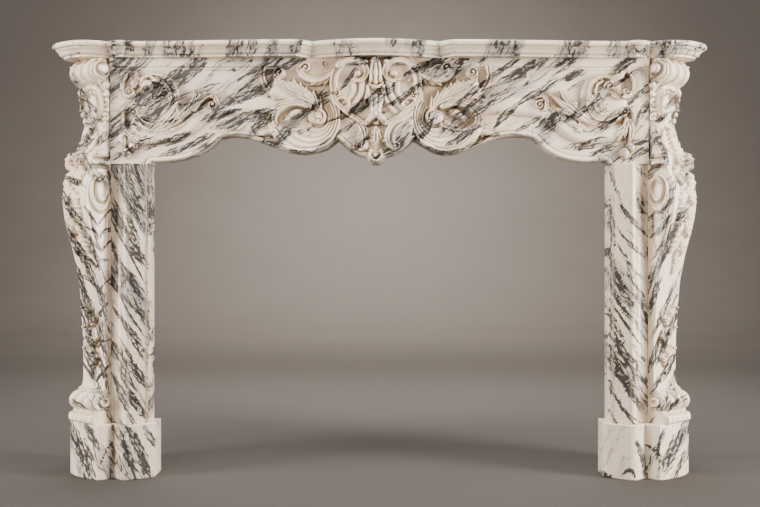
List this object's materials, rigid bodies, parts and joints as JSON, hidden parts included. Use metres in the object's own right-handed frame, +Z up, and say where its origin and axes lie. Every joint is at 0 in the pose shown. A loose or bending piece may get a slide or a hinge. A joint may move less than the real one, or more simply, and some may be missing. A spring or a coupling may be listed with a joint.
{
  "type": "marble fireplace surround",
  "caption": "Carved marble fireplace surround with a serpentine moulded shelf, carved frieze, diagonal console legs, moulded jambs and block plinths.",
  "frame": {"origin": "on the floor under the middle of the part's box, halfway between the wall and the shelf's front edge", "axes": "+Z up, +X along the shelf to the right as seen from the room, +Y towards the wall"},
  "size_m": [1.9304, 0.3479, 1.27],
  "materials": {
    "shelf_marble": "polished white marble with short grey and ochre veins",
    "carved_marble": "honed and waxed white marble with diagonal grey veins",
    "console_marble": "honed and waxed white marble with steep grey veins",
    "jamb_marble": "polished white marble with steep dark grey veins",
    "plinth_marble": "polished white marble with grey veins",
    "return_marble": "honed white marble with grey veins"
  },
  "bodies": {
    "root": {"mantel_shelf": "shelf_marble", "frieze": "carved_marble", "jamb_left": "jamb_marble", "jamb_right": "jamb_marble", "leg_left": "console_marble", "leg_right": "console_marble", "plinth_left": "plinth_marble", "plinth_right": "plinth_marble", "return_left": "return_marble", "return_right": "return_marble"}
  },
  "joints": []
}
